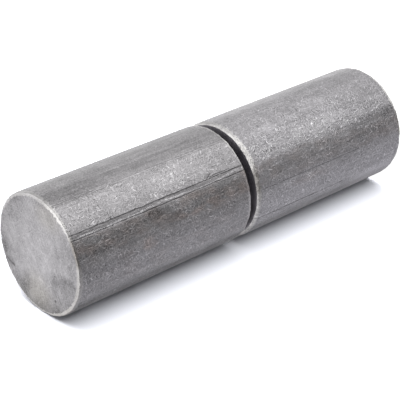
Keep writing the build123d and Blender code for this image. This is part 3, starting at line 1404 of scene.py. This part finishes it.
@dataclass
class UpperHalf(BarHalf):
    """The gate half, bored to run on the pin."""

    name: str = "gate_bar"
    body: str = "gate_half"
    node: str = "upper_barrel"
    gap_round: float = 0.3 * MM
    gap_flat: float = 0.0
    bore_radius: float = 10.08 * MM
    bore_depth: float = 42.83 * MM
    mouth: float = 1.0 * MM
    opens_up: bool = False
    seed: float = 7.0
    # Dull, bright and scratched, then dark and brown below the seams. The last four go round the back
    bands: tuple[Band, ...] = (
        Band(-84, -50, 6, -0.08),
        Band(-141.3, -111, 3, 0.04, 1.0),
        Band(-144.4, -141.5, 1, -0.22, 0.2),
        Band(-146.1, -144.4, 1, 0.12, 2.0),
        Band(-156, -147, 4, -0.25, 0.4, 0.45),
        Band(-166, -156, 4, -0.13, 0.4, 0.5),
        Band(-160, -152, 3, -0.07),
        Band(-169, -164, 3, 0.07),
        Band(-204, -166, 4, -0.12, 0.5, 0.1),
        # Painted shade: this band darkens the underside, on the side towards the card, where the bar lies
        Band(-250, -209, 14, -0.45, 0.2),
        Band(-212, -182, 6, 0.05),
        Band(-46, -12, 8, 0.03, 0.8),
        Band(-12, 60, 6, -0.1, 0.4, 0.3),
        Band(-350, -300, 6, -0.1, 0.4, 0.3),
        Band(-300, -262, 8, 0.02, 0.7),
    )
    # Bright clouds above the seams, dark and light ones below
    patches: tuple[Patch, ...] = (
        Patch(-117, 139, 7, 5, 0.02),
        Patch(-117, 123, 7, 7, 0.06),
        Patch(-129, 103, 7, 6, 0.13, 0.2),
        Patch(-131, 113, 6, 3.5, -0.09),
        Patch(-118, 96, 7, 3, 0.09, 0.2),
        Patch(-125, 78, 14, 10, -0.1, -0.2),
        Patch(-125, 101, 10, 11, 0.1, 0.1),
        Patch(-138, 130, 4, 14, -0.08),
        Patch(-114, 132, 4, 12, -0.08),
        Patch(-152, 113, 5, 5, -0.2),
        Patch(-162, 136, 4, 8, -0.1),
        Patch(-153, 100, 6, 7, 0.12, 0.3),
        Patch(-174, 118, 6, 6, 0.04, 0.2, 0.5),
        Patch(-162, 90, 7, 14, 0.03, 0.1, 0.5),
        Patch(-103, 136, 12, 15, -0.2),
        Patch(-110.8, 108, 0.7, 34, 0.2),
        Patch(-188, 137, 40, 15, -0.09),
        Patch(-144.9, 101.5, 0.8, 4.5, 0.4),
        Patch(-145, 88, 0.8, 5, 0.3),
        Patch(-145, 117, 0.8, 4, 0.35),
        Patch(-145, 127, 0.8, 3, 0.45),
        Patch(-145, 137, 0.8, 3, 0.4),
        Patch(-143.7, 136, 1.6, 14, -0.14, -0.4),
        Patch(-94.3, 104, 1.8, 26, 0.18),
        Patch(-97.5, 98, 1.8, 30, -0.1),
        Patch(-104.5, 105, 2.5, 36, -0.06),
        Patch(-91, 120, 1.6, 16, 0.12),
        Patch(-166, 73.8, 36, 0.6, 0.6),
    )
    # Dark drifts on the left and right, lighter above the middle
    end_patches: tuple[Patch, ...] = (
        Patch(-7.5, 8, 2, 4.5, -0.22),
        Patch(-13.5, 3.3, 5, 1.6, -0.16),
        Patch(-9, 16.3, 2.2, 2.2, -0.16),
        Patch(7.2, 13.5, 2.6, 5, -0.14),
        Patch(15.3, 8.3, 3, 1.8, -0.16),
        Patch(17.2, 3, 1.8, 4.5, -0.14),
        Patch(11, -13.5, 4.5, 3.5, -0.08),
        Patch(-8, 7, 7, 8, -0.08),
        Patch(1, 13, 7, 7, 0.08, 0.0, 0.3),
        Patch(0, 21, 24, 10, -0.22, 0.0, 0.15),
        Patch(-16, 6, 7, 8, -0.1),
        Patch(19, 6, 6, 9, -0.16),
        Patch(-6, -15, 7, 5, 0.08, 0.0, 0.25),
    )
    # Bright where the bar was struck most, then a rusty stretch, duller elsewhere
    rims: tuple[Rim, ...] = (
        Rim(-400, 400, 1, 0.4),
        Rim(-133, -106, 14, 0.32, 0.08),
        Rim(-170, -143, 10, 0.26, -0.05, 0.9),
        Rim(-212, -172, 16, 0.05, 0.35, 0.4),
        Rim(-252, -216, 14, 0.25, 0.4, 0.4),
        Rim(-106, -40, 14, -0.05, 0.25),
    )

    def grooves(self) -> tuple[Groove, ...]:
        """Lists the double seam, two hairlines, the spur and nicks beside the seam, and the pits in the end.

        Returns:
            The grooves.
        """
        side, foot, top = self.radius, self.foot, self.top
        return (
            Groove.along(side, (-141.3, foot), (-141.3, top), 0.56, 0.16),
            Groove.along(side, (-146.1, foot), (-146.1, top), 0.46, 0.16),
            Groove.along(side, (-109.9, foot), (-109.9, top), 0.46, 0.036),
            Groove.along(side, (-112.0, foot), (-112.0, top), 0.4, 0.03),
            Groove.along(side, (-137.3, 86.5 * MM), (-140.3, 88.6 * MM), 0.6, 0.16),
            Groove.along(side, (-139.5, 79 * MM), (-139.7, 87.5 * MM), 0.4, 0.14),
            Groove.along(side, (-139.4, 127.6 * MM), (-142.3, 126.6 * MM), 0.6, 0.16),
            Groove.on_end(top, (-7.7, 12.9), (-7.9, 12.7), 1.3, 0.16),
            Groove.on_end(top, (-8.2, 4.1), (-8.0, 4.0), 1.0, 0.1),
            Groove.on_end(top, (-17.0, 4.2), (-14.4, 3.6), 0.6, 0.06),
            Groove.on_end(top, (13.0, 9.2), (14.0, 8.8), 1.2, 0.2),
            Groove.on_end(top, (14.6, 8.6), (16.6, 7.6), 0.8, 0.1),
            Groove.on_end(top, (16.8, 6.0), (17.2, 4.0), 0.9, 0.1),
        )


@dataclass
class Pin(Turned):
    """The pivot pin: a plain turned and ground rod."""

    name: str = "pivot_pin"
    body: str = "post_half"
    node: str = "hinge_pin"
    slot: str = "ground_steel"
    foot_chamfer: float = 1.0 * MM
    tip_chamfer: float = 1.5 * MM
    rows: int = 12

    def profile(self) -> list[Ring]:
        """Lists the rings of a flat foot, a chamfer, the side, a wider chamfer and a flat tip.

        Returns:
            The rings, from the bottom up.
        """
        low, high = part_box(self.node)
        radius = max(high.x, high.y)
        start, end = low.z + self.foot_chamfer, high.z - self.tip_chamfer
        side = [start + (end - start) * i / self.rows for i in range(self.rows + 1)]
        foot = [Ring(0.0, low.z, Zone.END), Ring(radius - self.foot_chamfer, low.z, Zone.SIDE)]
        tip = [Ring(radius - self.tip_chamfer, high.z, Zone.END), Ring(0.0, high.z, Zone.END)]
        return foot + [Ring(radius, a, Zone.SIDE) for a in side] + tip

    def finishes(self) -> dict[Zone, Finish]:
        """Grinds it all over.

        Returns:
            The finish of each zone.
        """
        ground = CutSteel("ground_steel", "#b4b4b6", ring=0.3, depth=0.004, shine=0.2, oil=0.08)
        return {Zone.SIDE: ground, Zone.END: ground}


@dataclass
class Ball(Turned):
    """The thrust ball."""

    name: str = "bearing_ball"
    body: str = "ball"
    node: str = "thrust_ball"
    slot: str = "bearing_steel"
    divisions: int = 96
    rows: int = 64

    def profile(self) -> list[Ring]:
        """Lists the rings of half a circle, from the bottom pole to the top one.

        Returns:
            The rings.
        """
        low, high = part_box(self.node)
        middle, radius = (low.z + high.z) / 2, (high.z - low.z) / 2
        arc = rounded((0.0, middle), radius, -90, 90, self.rows)
        return [Ring(max(r, 0.0), h, Zone.SIDE) for r, h in arc]

    def finishes(self) -> dict[Zone, Finish]:
        """Polishes it all over.

        Returns:
            The finish of its one zone.
        """
        # Polishing takes the rings away, and leaves only this broad, faint unevenness
        polished = CutSteel("polished_steel", "#d4d4d6", ring=3.0, depth=0.0005, shine=0.07, oil=0.03)
        return {Zone.SIDE: polished}


# ---------------------------------------------------------------------------
# Studio
# ---------------------------------------------------------------------------


@dataclass(frozen=True)
class Glow:
    """A soft bright patch of the surroundings, by its bearing and elevation in degrees."""

    bearing: float
    elevation: float
    spread: float
    strength: float
    colour: str = "#ffffff"

    def direction(self) -> Vector:
        """Finds the way to the middle of the patch.

        Returns:
            A unit vector.
        """
        level = cos(radians(self.elevation))
        return Vector((level * cos(radians(self.bearing)), level * sin(radians(self.bearing)),
                       sin(radians(self.elevation))))


@dataclass
class Studio:
    """Grey surroundings with soft patches of light, a pale floor and a white card behind the hinge.

    The floor's and the card's sizes are in millimetres, the lamp's in metres.
    """

    ambient: float = 0.1
    glows: tuple[Glow, ...] = (
        Glow(-114, -28, 46, 1.02),
        Glow(-66, -28, 42, 0.56),
        Glow(8, -28, 48, 1.05),
        Glow(116, -28, 58, 0.5, "#f8f8ff"),
        Glow(-178, -28, 40, 0.16),
        Glow(36, 60, 75, 1.3),
        Glow(-60, 26, 48, 0.45),
        Glow(-98, 44, 44, 0.5),
        Glow(-140, 55, 40, 0.55),
        Glow(122, 30, 40, 0.25),
        Glow(0, -90, 30, 0.7),
    )
    lamp_distance: float = 1.5
    lamp_left: float = 1.8
    lamp_right: float = 5.0
    lamp_height: float = 2.2
    lamp_low: float = 0.16
    lamp_power: float = 486.0
    floor_reach: float = 3000.0
    card_reach: float = 400.0
    card_height: float = 600.0
    card_back: float = 20.0
    aim: Vector = Vector((-2.21, 3.18, 79.27)) * MM
    distance: float = 460.9 * MM
    view_bearing: float = -144.32
    view_elevation: float = 36.78
    view_roll: float = 0.21
    lens: float = 126.8

    def build(self) -> None:
        """Makes the world, the stage and the camera."""
        self.surroundings()
        self.lamp()
        self.floor()
        self.card()
        self.camera()
        bpy.context.scene.view_settings.view_transform = "Standard"

    def surroundings(self) -> None:
        """Makes the world: an even grey with the glows added to it."""
        world = bpy.data.worlds.new("studio")
        tree = empty_tree(world)
        towards = add(tree, "ShaderNodeTexCoord", out="Generated")
        total = (self.ambient, self.ambient, self.ambient)
        for glow in self.glows:
            near = add(tree, "ShaderNodeVectorMath", towards, glow.direction(), operation="DOT_PRODUCT",
                       out="Value")
            amount = add(tree, "ShaderNodeMapRange", near, cos(radians(glow.spread)), 1.0, 0.0, glow.strength,
                         interpolation_type="SMOOTHSTEP")
            tint = add(tree, "ShaderNodeVectorMath", linear(glow.colour)[:3], named={"Scale": amount},
                       operation="SCALE")
            total = add(tree, "ShaderNodeVectorMath", total, tint, operation="ADD")
        shader = add(tree, "ShaderNodeBackground", total, 1.0)
        add(tree, "ShaderNodeOutputWorld", shader)
        bpy.context.scene.world = world

    def lamp(self) -> None:
        """Hangs a wide lamp across the hinge. Its light and the hinge's shadow show on the stage alone."""
        data = bpy.data.lights.new("lamp", "AREA")
        data.shape = "RECTANGLE"
        data.size, data.size_y = self.lamp_left + self.lamp_right, self.lamp_height
        data.energy = self.lamp_power
        lamp = new_object("lamp", data)
        low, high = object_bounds()
        height = (low.z + high.z) / 2 - self.lamp_low
        middle = ((self.lamp_right - self.lamp_left) / 2, -self.lamp_distance, height)
        # The lamp shines along its own -Z, which this turns to +Y
        lamp.matrix_world = Matrix.Translation(middle) @ Matrix.Rotation(pi / 2, 4, "X")
        lamp.visible_glossy = False
        lamp.visible_camera = False

    def sheet(
        self,
        name: str,
        corners: list[tuple[float, float, float]],
        finish: bpy.types.Material,
    ) -> None:
        """Lays out a flat piece of the stage, which gives the hinge no light, reflection or shadow.

        Args:
            name: The piece's name.
            corners: Its four corners, in millimetres.
            finish: Its material.
        """
        mesh = bpy.data.meshes.new(name)
        mesh.from_pydata([Vector(c) * MM for c in corners], [], [(0, 1, 2, 3)])
        mesh.materials.append(finish)
        piece = new_object(name, mesh)
        piece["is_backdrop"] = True
        piece.visible_glossy = False
        piece.visible_diffuse = False
        piece.visible_shadow = False

    def floor(self) -> None:
        """Lays a pale floor that the hinge stands on. It shows from above only."""
        far = self.floor_reach
        corners = [(-far, -far, 0), (far, -far, 0), (far, far, 0), (-far, far, 0)]
        self.sheet("floor", corners, self.paper("pale_floor", "#bcbcbc", 0.8))

    def card(self) -> None:
        """Stands a white card against the hinge's far side, for its shadow. It shows from the front only."""
        wide, high, back = self.card_reach, self.card_height, self.card_back
        corners = [(-wide, back, 0), (wide, back, 0), (wide, back, high), (-wide, back, high)]
        self.sheet("card", corners, self.paper("white_card", "#a1a2a7", 0.0))

    @staticmethod
    def paper(name: str, tone: str, glow: float) -> bpy.types.Material:
        """Makes a matt white with some light of its own, clear from behind.

        Args:
            name: The material's name.
            tone: Its colour, for the light it gives back.
            glow: How much light it gives off.

        Returns:
            The material.
        """
        material = bpy.data.materials.new(name)
        tree = empty_tree(material)
        matt = add(tree, "ShaderNodeBsdfDiffuse", linear(tone))
        bright = add(tree, "ShaderNodeEmission", (1.0, 1.0, 1.0, 1.0), glow)
        shader = add(tree, "ShaderNodeAddShader", matt, bright)
        behind = add(tree, "ShaderNodeNewGeometry", out="Backfacing")
        clear = add(tree, "ShaderNodeBsdfTransparent")
        shader = add(tree, "ShaderNodeMixShader", behind, shader, clear)
        add(tree, "ShaderNodeOutputMaterial", shader)
        return material

    def camera(self) -> None:
        """Sets up a long lens above the gate half's end, rolled so that -Y is up in the picture."""
        back = Glow(self.view_bearing, self.view_elevation, 0, 0).direction()
        right = Vector((0, -1, 0)).cross(back).normalized()
        up = back.cross(right)
        data = bpy.data.cameras.new("camera")
        data.lens = self.lens
        data.sensor_width = 36.0
        camera = new_object("camera", data)
        level = Matrix((right, up, back)).transposed()
        turn = (level @ Matrix.Rotation(radians(self.view_roll), 3, "Z")).to_4x4()
        camera.matrix_world = Matrix.Translation(self.aim + back * self.distance) @ turn
        bpy.context.scene.camera = camera


def main() -> None:
    Studio().build()
    for piece in (LowerHalf(), UpperHalf(), Pin(), Ball()):
        solid = piece.build().data
        log.info("%s: %d faces, finishes %s", piece.name, len(solid.polygons), list(solid.materials.keys()))


if __name__ == "__main__":
    main()
